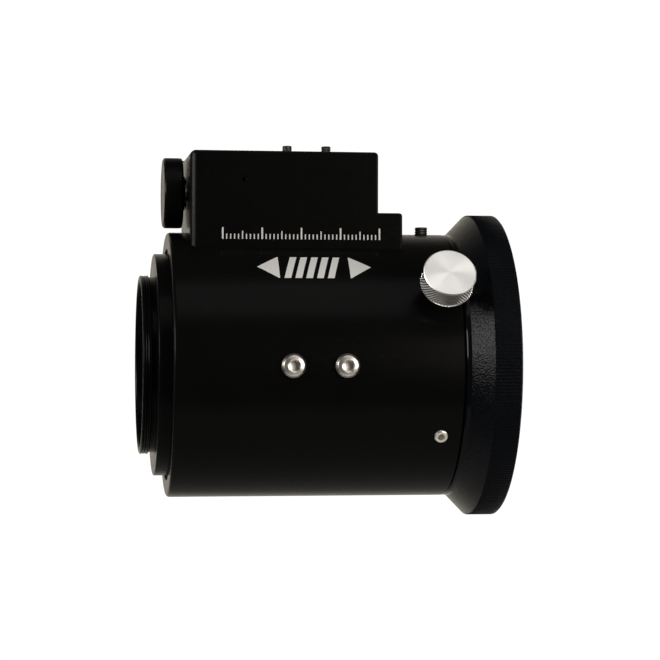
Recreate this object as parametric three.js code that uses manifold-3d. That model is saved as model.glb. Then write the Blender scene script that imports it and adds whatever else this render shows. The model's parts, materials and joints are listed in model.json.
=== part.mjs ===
// Motorised telescope focuser with a rotatable telescope flange.
// Millimetres. +X is the optical axis, pointing to the telescope, and +Z is up.
// The origin is on the optical axis, at the end face of the telescope flange.

import * as THREE from 'three';
import { mergeVertices } from 'three/addons/utils/BufferGeometryUtils.js';
import Module from 'manifold-3d';

const wasm = await Module();
wasm.setup();

// ---------------------------------------------------------------- driving dimensions

const GAP = 0.3;                    // clearance between neighbouring pieces
const ROUND = 64;                   // sides of the large rounds
const MEDIUM = 32;                  // sides of the motor, knobs and bearings
const SMALL = 12;                   // sides of screws and pins

const BODY_RADIUS = 40;
const BODY_BORE = 35;
const BODY_LEFT = -100.2;
const BODY_RIGHT = -15.75;
const BODY_CHAMFER = 0.8;

const DRAWTUBE_RADIUS = 33.5;
const DRAWTUBE_BORE = 29;
const DRAWTUBE_LEFT = -104.1;
const DRAWTUBE_RIGHT = -29;
const DRAWTUBE_CHAMFER = 0.4;
const TRAVEL = 10;                  // focusing travel, from retracted towards -X
const CAMERA_END_BUSH = [-99.4, -90.4];
const TELESCOPE_END_BUSH = [-46.3, -39.3];

const KEY_LEFT = -71.6;             // guide key, which stops the drawtube turning
const KEY_RIGHT = -46.6;
const KEY_HALF_WIDTH = 3;
const KEY_INNER = 31.8;
const KEY_OUTER = 34.6;
const KEY_HEAD_RADIUS = 3.5;
const KEY_HEAD_HEIGHT = 2.1;

const NOSE_RADIUS = 27;             // M54 camera thread
const NOSE_LEFT = -108.35;
const NOSE_BORE = 25.4;
const ADAPTER_RADIUS = 30.7;        // the part screwed into the drawtube
const ADAPTER_DEPTH = 5.7;

const FLANGE_RIM_RADIUS = 46.1;
const FLANGE_RIM_LEFT = -7.85;
const FLANGE_NECK_RIGHT = -13.8;
const FLANGE_THREAD_BORE = 41.8;    // female telescope thread
const FLANGE_THREAD_DEPTH = 9;
const FLANGE_BORE = 30;
const HUB_RADIUS = 34.6;
const HUB_LEFT = -28;
const GROOVE_FLOOR = 32.3;
const GROOVE_CENTRE = -21.7;
const GROOVE_HALF_FLOOR = 1.4;
const GROOVE_HALF_MOUTH = 3.1;

const BOX_LEFT = -94.3;             // motor housing
const BOX_RIGHT = -38.2;
const BOX_TOP = 63.5;
const BOX_HALF_DEPTH = 20;
const BOX_WALL = 2.5;
const FOOT_RIGHT = -30.9;
const FOOT_TOP = 45.4;
const SADDLE_RADIUS = BODY_RADIUS + GAP;
const BOX_BASE = 30;                // below the saddle, before it is cut
const UPPER_BOSS = { width: 5.5, front: 10, bottom: 55.5, top: BOX_TOP - 1 };
const LOWER_BOSS = { width: 4.2, front: 9, top: 48.5, nearTop: 46.5 };
const COVER_THICKNESS = 2.5;
const COVER_FRONT = BOX_HALF_DEPTH - COVER_THICKNESS;
const COVER_SCREW_TIP = 13.4;
const COVER_HEAD_RADIUS = 2.2;
const COVER_HEAD_HEIGHT = 1.4;
const COVER_HEAD_SEAT = 18.4;
const VENT = { x: -78.4, z: 54.9, radius: 0.5 };
const SOCKET = { x: -56, z: 52, halfWidth: 4.5, halfHeight: 2.6, inner: 13.9, outer: 20 };
const SOCKET_WALL = 0.5;
const SOCKET_DEPTH = 5;
const TONGUE_HALF_WIDTH = 2.6;
const TONGUE_HALF_HEIGHT = 0.5;

const BOARD = { x: [-85.5, -47], y: [12, 13.6], z: [44, 60] };
const LIMIT_SWITCH = { x: [-79, -73], y: [8.6, 11.7], z: [46, 51] };
const SENSOR = { front: -17.2, back: -12.5, radius: 2 };

const DRIVE_HEIGHT = 52;            // axis of motor, lead screw and focus knob
const MOTOR_RADIUS = 8.6;
const MOTOR_LEFT = -65.4;
const MOTOR_RIGHT = -41.2;
const MOTOR_CHAMFER = 0.8;
const CRADLE = { x: [-64.5, -42], halfWidth: 8.4, top: 47 };
const SHAFT_RADIUS = 1;
const SHAFT_LEFT = -68.8;
const SHAFT_RIGHT = -58;
const COUPLING_RADIUS = 4.5;
const COUPLING_LEFT = -71.5;
const COUPLING_RIGHT = -66;
const SCREW_RADIUS = 2.5;           // lead screw
const SCREW_LEFT = -100.2;
const SCREW_RIGHT = -69.2;
const BEARING_RADIUS = 4.7;
const BEARING_LEFT = BOX_LEFT + 0.8;
const BEARING_RIGHT = -89.5;
const BEARING_FLANGE_RADIUS = 6.5;
const KNOB_RADIUS = 10.65;
const KNOB_LEFT = -101.3;
const KNOB_RIGHT = -95.4;
const KNOB_HUB_RADIUS = 5.2;
const KNOB_HUB_RIGHT = BOX_LEFT - 0.4;
const KNOB_SCREW_X = -98.3;
const NUT_LEFT = -79;
const NUT_LENGTH = 6;
const NUT_RADIUS = 5.2;
const BRACKET_CENTRE = -76;
const BRACKET_THICKNESS = 5;
const BRACKET_HALF_WIDTH = 8;
const BRACKET_BOTTOM = 41.2;
const BRACKET_TOP = 59.8;
const TAB_HALF_WIDTH = 4;
const TAB_BOTTOM = 32.3;            // the tab passes through the body's slot into the drawtube
const SLOT_HALF_WIDTH = 5;
const BRACKET_SCREWS = [-2.2, 2.2];
const BRACKET_SCREW_TOP = 36.5;
const BRACKET_HEAD_RADIUS = 1.9;
const BRACKET_HEAD_HEIGHT = 0.9;
const BRACKET_HEAD_TOP = 30.1;

const PAD_RADIUS = 1.9;             // nylon pad, stem and head of the flange's lock screw
const PAD_INNER = 33;
const PAD_OUTER = 36.6;
const STEM_INNER = PAD_OUTER + GAP;
const STEM_OUTER = 50;
const LOCK_HEAD_RADIUS = 7.7;
const LOCK_HEAD_BOTTOM = 46;
const LOCK_HEAD_TOP = 53;
const LOCK_COLLAR_RADIUS = 4.5;
const LOCK_COLLAR_HEIGHT = 2;

const M2 = 1;                       // thread radii
const M2_5 = 1.25;
const M3 = 1.5;
const M4 = 2;

const KEY_SCREWS = [-66, -50.4];
const CLAMP_SCREWS = [-63.3, -51.3];
const CLAMP_SCREW_TOP = 66.85;
const HOUSING_SCREWS = [-90.5, -35];
const HOUSING_SCREW_TILT = 17.5;    // degrees each side of the top
const HOUSING_SCREW_TIP = 44;
const HOUSING_HEAD_BOTTOM = 35.2;
const HOUSING_HEAD_TOP = 36.9;
const HOUSING_HEAD_RADIUS = 2.2;
const LOCK_X = -21.4;
const LOCK_ANGLE = 30.7;            // degrees up from the near side
const FLANGE_SCREW_POINT = 33;
const FLANGE_SCREWS = [
  { name: 'top', angle: 90, x: GROOVE_CENTRE, tip: 42.3 },
  { name: 'front', angle: -30.9, x: -21.9, tip: 40.7 },
  { name: 'rear', angle: 210, x: GROOVE_CENTRE, tip: 40.7 },
];
const COVER_SCREWS = [
  { name: 'upper_left', x: -89.2, z: 58.3 },
  { name: 'upper_right', x: -43.2, z: 58.3 },
  { name: 'lower_left', x: -89.9, z: 45.4 },
  { name: 'lower_right', x: -38.8, z: 42 },
];

// ---------------------------------------------------------------- materials

function finish(color, roughness, metalness) {
  return () => new THREE.MeshStandardMaterial({ color, roughness, metalness });
}

const blackAnodised = finish(0x14141a, 0.45, 0.6);
const blastedBlack = finish(0x1a1a1c, 0.7, 0.5);
const blackOxide = finish(0x1c1c1e, 0.5, 0.8);
const stainless = finish(0xc8c8c8, 0.3, 1);
const turnedAluminium = finish(0xd8d8d6, 0.35, 1);
const brass = finish(0xb59a4c, 0.35, 1);
const slidingPlastic = finish(0xd9d6c8, 0.6, 0);
const boardGreen = finish(0x1f5a33, 0.6, 0);
const blackPlastic = finish(0x161616, 0.6, 0);

// ---------------------------------------------------------------- shapes

// Turns a closed outline of [radius, height] points about Y. Outlines run counter-clockwise,
// with the radius to the right and the height up.
function lathe(outline, sides) {
  const points = outline.map(([radius, height]) => new THREE.Vector2(radius, height));
  points.push(points[0].clone());
  return new THREE.LatheGeometry(points, sides);
}

// Outlines of [x, radius] points, turned about the X axis.
function turnedX(outline, sides = ROUND) {
  const flipped = outline.map(([x, radius]) => [radius, x]).reverse();
  return lathe(flipped, sides).rotateZ(-Math.PI / 2);
}

// Outlines of [radius, z] points, turned about the Z axis.
function turnedZ(outline, sides = SMALL) {
  return lathe(outline, sides).rotateX(Math.PI / 2);
}

function rodX(x0, x1, radius, y = 0, z = 0, sides = SMALL) {
  const rod = new THREE.CylinderGeometry(radius, radius, x1 - x0, sides);
  return rod.rotateZ(Math.PI / 2).translate((x0 + x1) / 2, y, z);
}

function rodY(y0, y1, radius, x = 0, z = 0, sides = SMALL) {
  const rod = new THREE.CylinderGeometry(radius, radius, y1 - y0, sides);
  return rod.translate(x, (y0 + y1) / 2, z);
}

function rodZ(z0, z1, radius, x = 0, y = 0, sides = SMALL) {
  const rod = new THREE.CylinderGeometry(radius, radius, z1 - z0, sides);
  return rod.rotateX(Math.PI / 2).translate(x, y, (z0 + z1) / 2);
}

function block([x0, x1], [y0, y1], [z0, z1]) {
  const box = new THREE.BoxGeometry(x1 - x0, y1 - y0, z1 - z0);
  return box.translate((x0 + x1) / 2, (y0 + y1) / 2, (z0 + z1) / 2);
}

// Angles are in degrees about the optical axis, from the near side (-Y) up to the top (+Z).
function tiltOf(angle) {
  return Math.PI / 2 - THREE.MathUtils.degToRad(angle);
}

function radialHole(x, angle, from, to, radius) {
  return rodZ(from, to, radius).rotateX(tiltOf(angle)).translate(x, 0, 0);
}

function toSolid(geometry) {
  const bare = geometry.clone();
  bare.deleteAttribute('normal');
  bare.deleteAttribute('uv');
  const merged = mergeVertices(bare, 1e-4);
  const vertProperties = new Float32Array(merged.attributes.position.array);
  const triVerts = new Uint32Array(merged.index.array);
  return new wasm.Manifold(new wasm.Mesh({ numProp: 3, vertProperties, triVerts }));
}

function toGeometry(solid) {
  const { vertProperties, triVerts } = solid.getMesh();
  const geometry = new THREE.BufferGeometry();
  geometry.setAttribute('position', new THREE.BufferAttribute(vertProperties, 3));
  geometry.setIndex(new THREE.BufferAttribute(triVerts, 1));
  geometry.computeVertexNormals();
  return geometry;
}

// Joins the geometries in `bodies`, then cuts those in `cuts` out of the result.
function carve(bodies, cuts = []) {
  let solid = toSolid(bodies[0]);
  for (const extra of bodies.slice(1)) {
    solid = solid.add(toSolid(extra));
  }
  for (const cut of cuts) {
    solid = solid.subtract(toSolid(cut));
  }
  return toGeometry(solid);
}

// ---------------------------------------------------------------- the scene graph

const group = new THREE.Group();

function place(name, geometry, material) {
  const mesh = new THREE.Mesh(geometry, material());
  mesh.name = name;
  group.add(mesh);
  return mesh;
}

// Places a piece that was made along +Z so that it points outwards at `angle`.
function placeRadial(name, geometry, material, x, angle) {
  const mesh = place(name, geometry, material);
  mesh.position.x = x;
  mesh.rotation.x = tiltOf(angle);
  return mesh;
}

// ---------------------------------------------------------------- screws, made along +Z

// A socket cap screw: head from `seat` upwards, shank from `tip` to `seat`.
function capScrew(tip, seat, thread, headRadius, headHeight) {
  const edge = headHeight * 0.22;
  const outline = [
    [0, tip],
    [thread - 0.3, tip],
    [thread, tip + 0.4],
    [thread, seat],
    [headRadius, seat],
    [headRadius, seat + headHeight - edge],
    [headRadius - edge, seat + headHeight],
    [0, seat + headHeight],
  ];
  const depth = headHeight * 0.6;
  const socket = rodZ(seat + headHeight - depth, seat + headHeight + 1, thread * 0.72, 0, 0, 6);
  return carve([turnedZ(outline)], [socket]);
}

// A set screw with a cone point and a hexagon socket.
function setScrew(point, end, thread, pointLength, pointRadius) {
  const outline = [
    [0, point],
    [pointRadius, point],
    [thread, point + pointLength],
    [thread, end - 0.3],
    [thread - 0.3, end],
    [0, end],
  ];
  const socket = rodZ(end - thread, end + 1, thread * 0.58, 0, 0, 6);
  return carve([turnedZ(outline)], [socket]);
}

// ---------------------------------------------------------------- body and drawtube

function bodyTube() {
  const shell = turnedX([
    [BODY_LEFT, BODY_BORE],
    [BODY_RIGHT, BODY_BORE],
    [BODY_RIGHT, BODY_RADIUS - BODY_CHAMFER / 2],
    [BODY_RIGHT - BODY_CHAMFER / 2, BODY_RADIUS],
    [BODY_LEFT + BODY_CHAMFER, BODY_RADIUS],
    [BODY_LEFT, BODY_RADIUS - BODY_CHAMFER],
  ]);
  const bracketSlot = block(
    [BRACKET_CENTRE - BRACKET_THICKNESS / 2 - TRAVEL - 1, BRACKET_CENTRE + BRACKET_THICKNESS / 2 + 1],
    [-SLOT_HALF_WIDTH, SLOT_HALF_WIDTH],
    [BODY_BORE - 3, BODY_RADIUS + 1],
  );
  const cuts = [bracketSlot];
  for (const x of KEY_SCREWS) {
    cuts.push(radialHole(x, 0, BODY_BORE - 2, BODY_RADIUS + 2, M4 + GAP));
  }
  for (const { angle, x } of FLANGE_SCREWS) {
    cuts.push(radialHole(x, angle, BODY_BORE - 2, BODY_RADIUS + 2, M4 + GAP));
  }
  cuts.push(radialHole(LOCK_X, LOCK_ANGLE, BODY_BORE - 2, BODY_RADIUS + 2, M4 + GAP));
  for (const x of HOUSING_SCREWS) {
    for (const side of [-1, 1]) {
      const angle = 90 + side * HOUSING_SCREW_TILT;
      cuts.push(radialHole(x, angle, BODY_BORE - 2, BODY_RADIUS + 2, M2_5 + GAP));
      cuts.push(radialHole(x, angle, BODY_BORE - 2, HOUSING_HEAD_TOP + GAP, HOUSING_HEAD_RADIUS + GAP));
    }
  }
  return carve([shell], cuts);
}

function guideBush([left, right]) {
  const inner = DRAWTUBE_RADIUS + GAP;
  const outer = BODY_BORE - GAP;
  return turnedX([[left, inner], [right, inner], [right, outer], [left, outer]]);
}

function drawtube() {
  const recess = ADAPTER_RADIUS + GAP;
  const recessEnd = DRAWTUBE_LEFT + ADAPTER_DEPTH + GAP;
  const shell = turnedX([
    [DRAWTUBE_LEFT, recess],
    [recessEnd, recess],
    [recessEnd, DRAWTUBE_BORE],
    [DRAWTUBE_RIGHT, DRAWTUBE_BORE],
    [DRAWTUBE_RIGHT, DRAWTUBE_RADIUS - DRAWTUBE_CHAMFER],
    [DRAWTUBE_RIGHT - DRAWTUBE_CHAMFER, DRAWTUBE_RADIUS],
    [DRAWTUBE_LEFT + DRAWTUBE_CHAMFER, DRAWTUBE_RADIUS],
    [DRAWTUBE_LEFT, DRAWTUBE_RADIUS - DRAWTUBE_CHAMFER],
  ]);
  const keyway = block(
    [KEY_LEFT - 0.6, DRAWTUBE_RIGHT + 1],
    [-DRAWTUBE_RADIUS - 1, -KEY_INNER + GAP],
    [-KEY_HALF_WIDTH - GAP, KEY_HALF_WIDTH + GAP],
  );
  const half = BRACKET_THICKNESS / 2 + GAP;
  const pocket = block(
    [BRACKET_CENTRE - half, BRACKET_CENTRE + half],
    [-TAB_HALF_WIDTH - GAP, TAB_HALF_WIDTH + GAP],
    [TAB_BOTTOM - GAP, DRAWTUBE_RADIUS + 1],
  );
  const cuts = [keyway, pocket];
  for (const y of BRACKET_SCREWS) {
    cuts.push(rodZ(DRAWTUBE_BORE - 2, DRAWTUBE_RADIUS + 1, M2 + GAP, BRACKET_CENTRE, y));
    const head = BRACKET_HEAD_RADIUS + GAP / 2;
    cuts.push(rodZ(DRAWTUBE_BORE - 2, BRACKET_HEAD_TOP + GAP, head, BRACKET_CENTRE, y));
  }
  return carve([shell], cuts);
}

function cameraAdapter() {
  return turnedX([
    [NOSE_LEFT, NOSE_BORE + 0.4],
    [NOSE_LEFT + 0.4, NOSE_BORE],
    [DRAWTUBE_LEFT + ADAPTER_DEPTH, NOSE_BORE],
    [DRAWTUBE_LEFT + ADAPTER_DEPTH, ADAPTER_RADIUS],
    [DRAWTUBE_LEFT, ADAPTER_RADIUS],
    [DRAWTUBE_LEFT, NOSE_RADIUS],
    [NOSE_LEFT + 0.5, NOSE_RADIUS],
    [NOSE_LEFT, NOSE_RADIUS - 0.5],
  ]);
}

function telescopeFlange() {
  const shoulder = BODY_RIGHT + GAP;
  return turnedX([
    [HUB_LEFT, FLANGE_BORE],
    [-FLANGE_THREAD_DEPTH, FLANGE_BORE],
    [-FLANGE_THREAD_DEPTH, FLANGE_THREAD_BORE],
    [-0.6, FLANGE_THREAD_BORE],
    [0, FLANGE_THREAD_BORE + 0.6],
    [0, FLANGE_RIM_RADIUS - 0.6],
    [-0.6, FLANGE_RIM_RADIUS],
    [FLANGE_RIM_LEFT, FLANGE_RIM_RADIUS],
    [FLANGE_NECK_RIGHT, BODY_RADIUS],
    [shoulder + 0.4, BODY_RADIUS],
    [shoulder, BODY_RADIUS - 0.4],
    [shoulder, HUB_RADIUS],
    [GROOVE_CENTRE + GROOVE_HALF_MOUTH, HUB_RADIUS],
    [GROOVE_CENTRE + GROOVE_HALF_FLOOR, GROOVE_FLOOR],
    [GROOVE_CENTRE - GROOVE_HALF_FLOOR, GROOVE_FLOOR],
    [GROOVE_CENTRE - GROOVE_HALF_MOUTH, HUB_RADIUS],
    [HUB_LEFT, HUB_RADIUS],
  ]);
}

// ---------------------------------------------------------------- motor housing

// The side outline of the housing, from y0 to y1, resting on the body.
function housingSlab(y0, y1) {
  return [
    block([BOX_LEFT, BOX_RIGHT], [y0, y1], [BOX_BASE, BOX_TOP]),
    block([BOX_LEFT, FOOT_RIGHT], [y0, y1], [BOX_BASE, FOOT_TOP]),
  ];
}

function saddle() {
  return rodX(BOX_LEFT - 5, FOOT_RIGHT + 5, SADDLE_RADIUS, 0, 0, ROUND);
}

function motorHousing() {
  const left = BOX_LEFT + BOX_WALL;
  const right = BOX_RIGHT - BOX_WALL;
  const front = -BOX_HALF_DEPTH + BOX_WALL;
  const back = COVER_FRONT - GAP;
  const cavity = block([left, right], [front, back + 1], [BOX_BASE - 5, BOX_TOP - BOX_WALL]);
  const shell = carve(housingSlab(-BOX_HALF_DEPTH, back), [cavity]);
  const upper = [[UPPER_BOSS.front, back], [UPPER_BOSS.bottom, UPPER_BOSS.top]];
  const lowerSpan = [left - 1, left + LOWER_BOSS.width];
  const bosses = [
    block([left - 1, left + UPPER_BOSS.width], ...upper),
    block([right - UPPER_BOSS.width, right + 1], ...upper),
    block(lowerSpan, [LOWER_BOSS.front, back], [BOX_BASE, LOWER_BOSS.top]),
    block(lowerSpan, [front - 1, -LOWER_BOSS.front], [BOX_BASE, LOWER_BOSS.nearTop]),
  ];
  const cuts = [saddle()];
  cuts.push(rodX(BOX_LEFT - 1, left + 1, BEARING_RADIUS + GAP, 0, DRIVE_HEIGHT, MEDIUM));
  cuts.push(rodY(-BOX_HALF_DEPTH - 1, front + 1, VENT.radius, VENT.x, VENT.z));
  for (const x of CLAMP_SCREWS) {
    cuts.push(rodZ(BOX_TOP - BOX_WALL - 1, BOX_TOP + 1, M3 + GAP, x, 0));
  }
  for (const x of HOUSING_SCREWS) {
    for (const side of [-1, 1]) {
      const angle = 90 + side * HOUSING_SCREW_TILT;
      cuts.push(radialHole(x, angle, BOX_BASE, HOUSING_SCREW_TIP + GAP, M2_5 + GAP));
    }
  }
  for (const { x, z } of COVER_SCREWS) {
    cuts.push(rodY(COVER_SCREW_TIP - GAP, BOX_HALF_DEPTH, M2_5 + GAP, x, z));
  }
  return carve([shell, ...bosses], cuts);
}

function rearCover() {
  const cuts = [saddle()];
  for (const { x, z } of COVER_SCREWS) {
    cuts.push(rodY(COVER_FRONT - 1, BOX_HALF_DEPTH + 1, M2_5 + GAP, x, z));
    cuts.push(rodY(COVER_HEAD_SEAT - GAP, BOX_HALF_DEPTH + 1, COVER_HEAD_RADIUS + GAP, x, z));
  }
  cuts.push(block(
    [SOCKET.x - SOCKET.halfWidth - GAP, SOCKET.x + SOCKET.halfWidth + GAP],
    [COVER_FRONT - 1, BOX_HALF_DEPTH + 1],
    [SOCKET.z - SOCKET.halfHeight - GAP, SOCKET.z + SOCKET.halfHeight + GAP],
  ));
  return carve(housingSlab(COVER_FRONT, BOX_HALF_DEPTH), cuts);
}

function dataSocket() {
  const { x, z, halfWidth, halfHeight, inner, outer } = SOCKET;
  const shell = block([x - halfWidth, x + halfWidth], [inner, outer], [z - halfHeight, z + halfHeight]);
  const mouth = block(
    [x - halfWidth + SOCKET_WALL, x + halfWidth - SOCKET_WALL],
    [outer - SOCKET_DEPTH, outer + 1],
    [z - halfHeight + SOCKET_WALL, z + halfHeight - SOCKET_WALL],
  );
  const tongue = block(
    [x - TONGUE_HALF_WIDTH, x + TONGUE_HALF_WIDTH],
    [outer - SOCKET_DEPTH - SOCKET_WALL, outer - 1],
    [z - TONGUE_HALF_HEIGHT, z + TONGUE_HALF_HEIGHT],
  );
  const hollow = carve([shell], [mouth]);
  return carve([hollow, tongue]);
}

function screwBearing() {
  const bore = SCREW_RADIUS + GAP;
  const shoulder = BOX_LEFT + BOX_WALL + GAP;
  return turnedX([
    [BEARING_LEFT, bore],
    [BEARING_RIGHT, bore],
    [BEARING_RIGHT, BEARING_FLANGE_RADIUS],
    [shoulder, BEARING_FLANGE_RADIUS],
    [shoulder, BEARING_RADIUS],
    [BEARING_LEFT, BEARING_RADIUS],
  ], MEDIUM);
}

// ---------------------------------------------------------------- drive

function motorBody() {
  const bore = SHAFT_RADIUS + GAP;
  return turnedX([
    [MOTOR_LEFT, bore],
    [SHAFT_RIGHT + GAP, bore],
    [SHAFT_RIGHT + GAP, 0],
    [MOTOR_RIGHT, 0],
    [MOTOR_RIGHT, MOTOR_RADIUS - MOTOR_CHAMFER],
    [MOTOR_RIGHT - MOTOR_CHAMFER, MOTOR_RADIUS],
    [MOTOR_LEFT + MOTOR_CHAMFER, MOTOR_RADIUS],
    [MOTOR_LEFT, MOTOR_RADIUS - MOTOR_CHAMFER],
  ], MEDIUM);
}

function motorCradle() {
  const { x, halfWidth, top } = CRADLE;
  const base = block(x, [-halfWidth, halfWidth], [BOX_BASE, top]);
  const bed = rodX(x[0] - 1, x[1] + 1, MOTOR_RADIUS + GAP, 0, DRIVE_HEIGHT, MEDIUM);
  return carve([base], [bed, saddle()]);
}

function shaftCoupling() {
  const middle = SCREW_RIGHT + GAP;
  return turnedX([
    [COUPLING_LEFT, SCREW_RADIUS + GAP],
    [middle, SCREW_RADIUS + GAP],
    [middle, SHAFT_RADIUS + GAP],
    [COUPLING_RIGHT, SHAFT_RADIUS + GAP],
    [COUPLING_RIGHT, COUPLING_RADIUS],
    [COUPLING_LEFT, COUPLING_RADIUS],
  ], MEDIUM);
}

function leadScrew() {
  return turnedX([
    [SCREW_LEFT, 0],
    [SCREW_RIGHT, 0],
    [SCREW_RIGHT, SCREW_RADIUS],
    [SCREW_LEFT, SCREW_RADIUS],
  ], SMALL);
}

function focusKnob() {
  const disc = turnedX([
    [KNOB_LEFT, 0],
    [SCREW_LEFT - GAP, 0],
    [SCREW_LEFT - GAP, SCREW_RADIUS + GAP],
    [KNOB_HUB_RIGHT, SCREW_RADIUS + GAP],
    [KNOB_HUB_RIGHT, KNOB_HUB_RADIUS],
    [KNOB_RIGHT, KNOB_HUB_RADIUS],
    [KNOB_RIGHT, KNOB_RADIUS - 0.9],
    [KNOB_RIGHT - 0.9, KNOB_RADIUS],
    [KNOB_LEFT + 0.3, KNOB_RADIUS],
    [KNOB_LEFT, KNOB_RADIUS - 0.3],
  ], MEDIUM);
  const hole = rodY(SCREW_RADIUS, KNOB_RADIUS + 1, M3 + GAP, KNOB_SCREW_X, 0);
  return carve([disc], [hole]);
}

function driveNut() {
  const right = NUT_LEFT + NUT_LENGTH;
  const bore = SCREW_RADIUS + GAP;
  return turnedX([[NUT_LEFT, bore], [right, bore], [right, NUT_RADIUS], [NUT_LEFT, NUT_RADIUS]], MEDIUM);
}

function carriageBracket() {
  const half = BRACKET_THICKNESS / 2;
  const span = [BRACKET_CENTRE - half, BRACKET_CENTRE + half];
  const sides = [-BRACKET_HALF_WIDTH, BRACKET_HALF_WIDTH];
  const plate = block(span, sides, [BRACKET_BOTTOM, BRACKET_TOP]);
  const tabSides = [-TAB_HALF_WIDTH, TAB_HALF_WIDTH];
  const tab = block(span, tabSides, [TAB_BOTTOM, BRACKET_BOTTOM + 1]);
  const cuts = [rodX(span[0] - 1, span[1] + 1, NUT_RADIUS + GAP, 0, DRIVE_HEIGHT, MEDIUM)];
  for (const y of BRACKET_SCREWS) {
    cuts.push(rodZ(TAB_BOTTOM - 1, BRACKET_SCREW_TOP + GAP, M2 + GAP, BRACKET_CENTRE, y));
  }
  return carve([plate, tab], cuts);
}

// ---------------------------------------------------------------- lock screw, made along +Z

function lockPad() {
  return turnedZ([
    [0, PAD_INNER],
    [PAD_RADIUS - 0.6, PAD_INNER],
    [PAD_RADIUS, PAD_INNER + 1.2],
    [PAD_RADIUS, PAD_OUTER],
    [0, PAD_OUTER],
  ]);
}

function lockStem() {
  return turnedZ([
    [0, STEM_INNER],
    [M4 - 0.3, STEM_INNER],
    [M4, STEM_INNER + 0.4],
    [M4, STEM_OUTER],
    [0, STEM_OUTER],
  ]);
}

function lockKnob() {
  const bore = M4 + GAP;
  const collar = LOCK_HEAD_BOTTOM - LOCK_COLLAR_HEIGHT;
  return turnedZ([
    [0, STEM_OUTER + GAP],
    [bore, STEM_OUTER + GAP],
    [bore, collar],
    [LOCK_COLLAR_RADIUS, collar],
    [LOCK_COLLAR_RADIUS, LOCK_HEAD_BOTTOM],
    [LOCK_HEAD_RADIUS - 0.6, LOCK_HEAD_BOTTOM],
    [LOCK_HEAD_RADIUS, LOCK_HEAD_BOTTOM + 0.6],
    [LOCK_HEAD_RADIUS, LOCK_HEAD_TOP - 0.6],
    [LOCK_HEAD_RADIUS - 0.6, LOCK_HEAD_TOP],
    [0, LOCK_HEAD_TOP],
  ], MEDIUM);
}

// ---------------------------------------------------------------- assembly

place('body_tube', bodyTube(), blackAnodised);
place('camera_end_bush', guideBush(CAMERA_END_BUSH), slidingPlastic);
place('telescope_end_bush', guideBush(TELESCOPE_END_BUSH), slidingPlastic);
place('drawtube', drawtube(), blackAnodised);
place('camera_adapter', cameraAdapter(), blackAnodised);
place('telescope_flange', telescopeFlange(), blastedBlack);

const keyHoles = KEY_SCREWS.map((x) => radialHole(x, 0, KEY_INNER - 1, KEY_OUTER + 1, M4 + GAP));
const keyBar = block(
  [KEY_LEFT, KEY_RIGHT],
  [-KEY_OUTER, -KEY_INNER],
  [-KEY_HALF_WIDTH, KEY_HALF_WIDTH],
);
place('guide_key', carve([keyBar], keyHoles), brass);
KEY_SCREWS.forEach((x, index) => {
  const tip = KEY_INNER + GAP;
  const screw = capScrew(tip, BODY_RADIUS + GAP, M4, KEY_HEAD_RADIUS, KEY_HEAD_HEIGHT);
  placeRadial(`key_screw_${index + 1}`, screw, stainless, x, 0);
});

for (const { name, angle, x, tip } of FLANGE_SCREWS) {
  const material = name === 'top' ? blackOxide : stainless;
  const screw = setScrew(FLANGE_SCREW_POINT, tip, M4, 2.2, 0.9);
  placeRadial(`flange_screw_${name}`, screw, material, x, angle);
}

place('motor_housing', motorHousing(), blackAnodised);
place('rear_cover', rearCover(), blackAnodised);
for (const { name, x, z } of COVER_SCREWS) {
  const screw = capScrew(COVER_SCREW_TIP, COVER_HEAD_SEAT, M2_5, COVER_HEAD_RADIUS, COVER_HEAD_HEIGHT);
  const mesh = place(`cover_screw_${name}`, screw, blackOxide);
  mesh.position.set(x, 0, z);
  mesh.rotation.x = -Math.PI / 2;
}
HOUSING_SCREWS.forEach((x, index) => {
  for (const [side, name] of [[-1, 'front'], [1, 'rear']]) {
    const length = HOUSING_SCREW_TIP - HOUSING_HEAD_TOP;
    const height = HOUSING_HEAD_TOP - HOUSING_HEAD_BOTTOM;
    const screw = capScrew(-length, 0, M2_5, HOUSING_HEAD_RADIUS, height);
    screw.rotateX(Math.PI).translate(0, 0, HOUSING_HEAD_TOP);
    const angle = 90 + side * HOUSING_SCREW_TILT;
    placeRadial(`housing_screw_${name}_${index + 1}`, screw, blackOxide, x, angle);
  }
});

place('screw_bearing', screwBearing(), slidingPlastic).position.z = DRIVE_HEIGHT;
place('motor_body', motorBody(), stainless).position.z = DRIVE_HEIGHT;
place('motor_cradle', motorCradle(), blackAnodised);
CLAMP_SCREWS.forEach((x, index) => {
  const screw = setScrew(DRIVE_HEIGHT + MOTOR_RADIUS + GAP, CLAMP_SCREW_TOP, M3, 0.5, 1);
  place(`motor_clamp_screw_${index + 1}`, screw, blackOxide).position.x = x;
});

place('motor_shaft', rodX(SHAFT_LEFT, SHAFT_RIGHT, SHAFT_RADIUS), stainless).position.z = DRIVE_HEIGHT;
place('shaft_coupling', shaftCoupling(), turnedAluminium).position.z = DRIVE_HEIGHT;
place('lead_screw', leadScrew(), stainless).position.z = DRIVE_HEIGHT;
place('focus_knob', focusKnob(), blackAnodised).position.z = DRIVE_HEIGHT;
const knobScrewEnds = [SCREW_RADIUS + 0.4, KNOB_RADIUS - 1.25];
const knobScrew = place('knob_set_screw', setScrew(...knobScrewEnds, M3, 0.5, 1), blackOxide);
knobScrew.position.set(KNOB_SCREW_X, 0, DRIVE_HEIGHT);
knobScrew.rotation.x = -Math.PI / 2;

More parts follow.
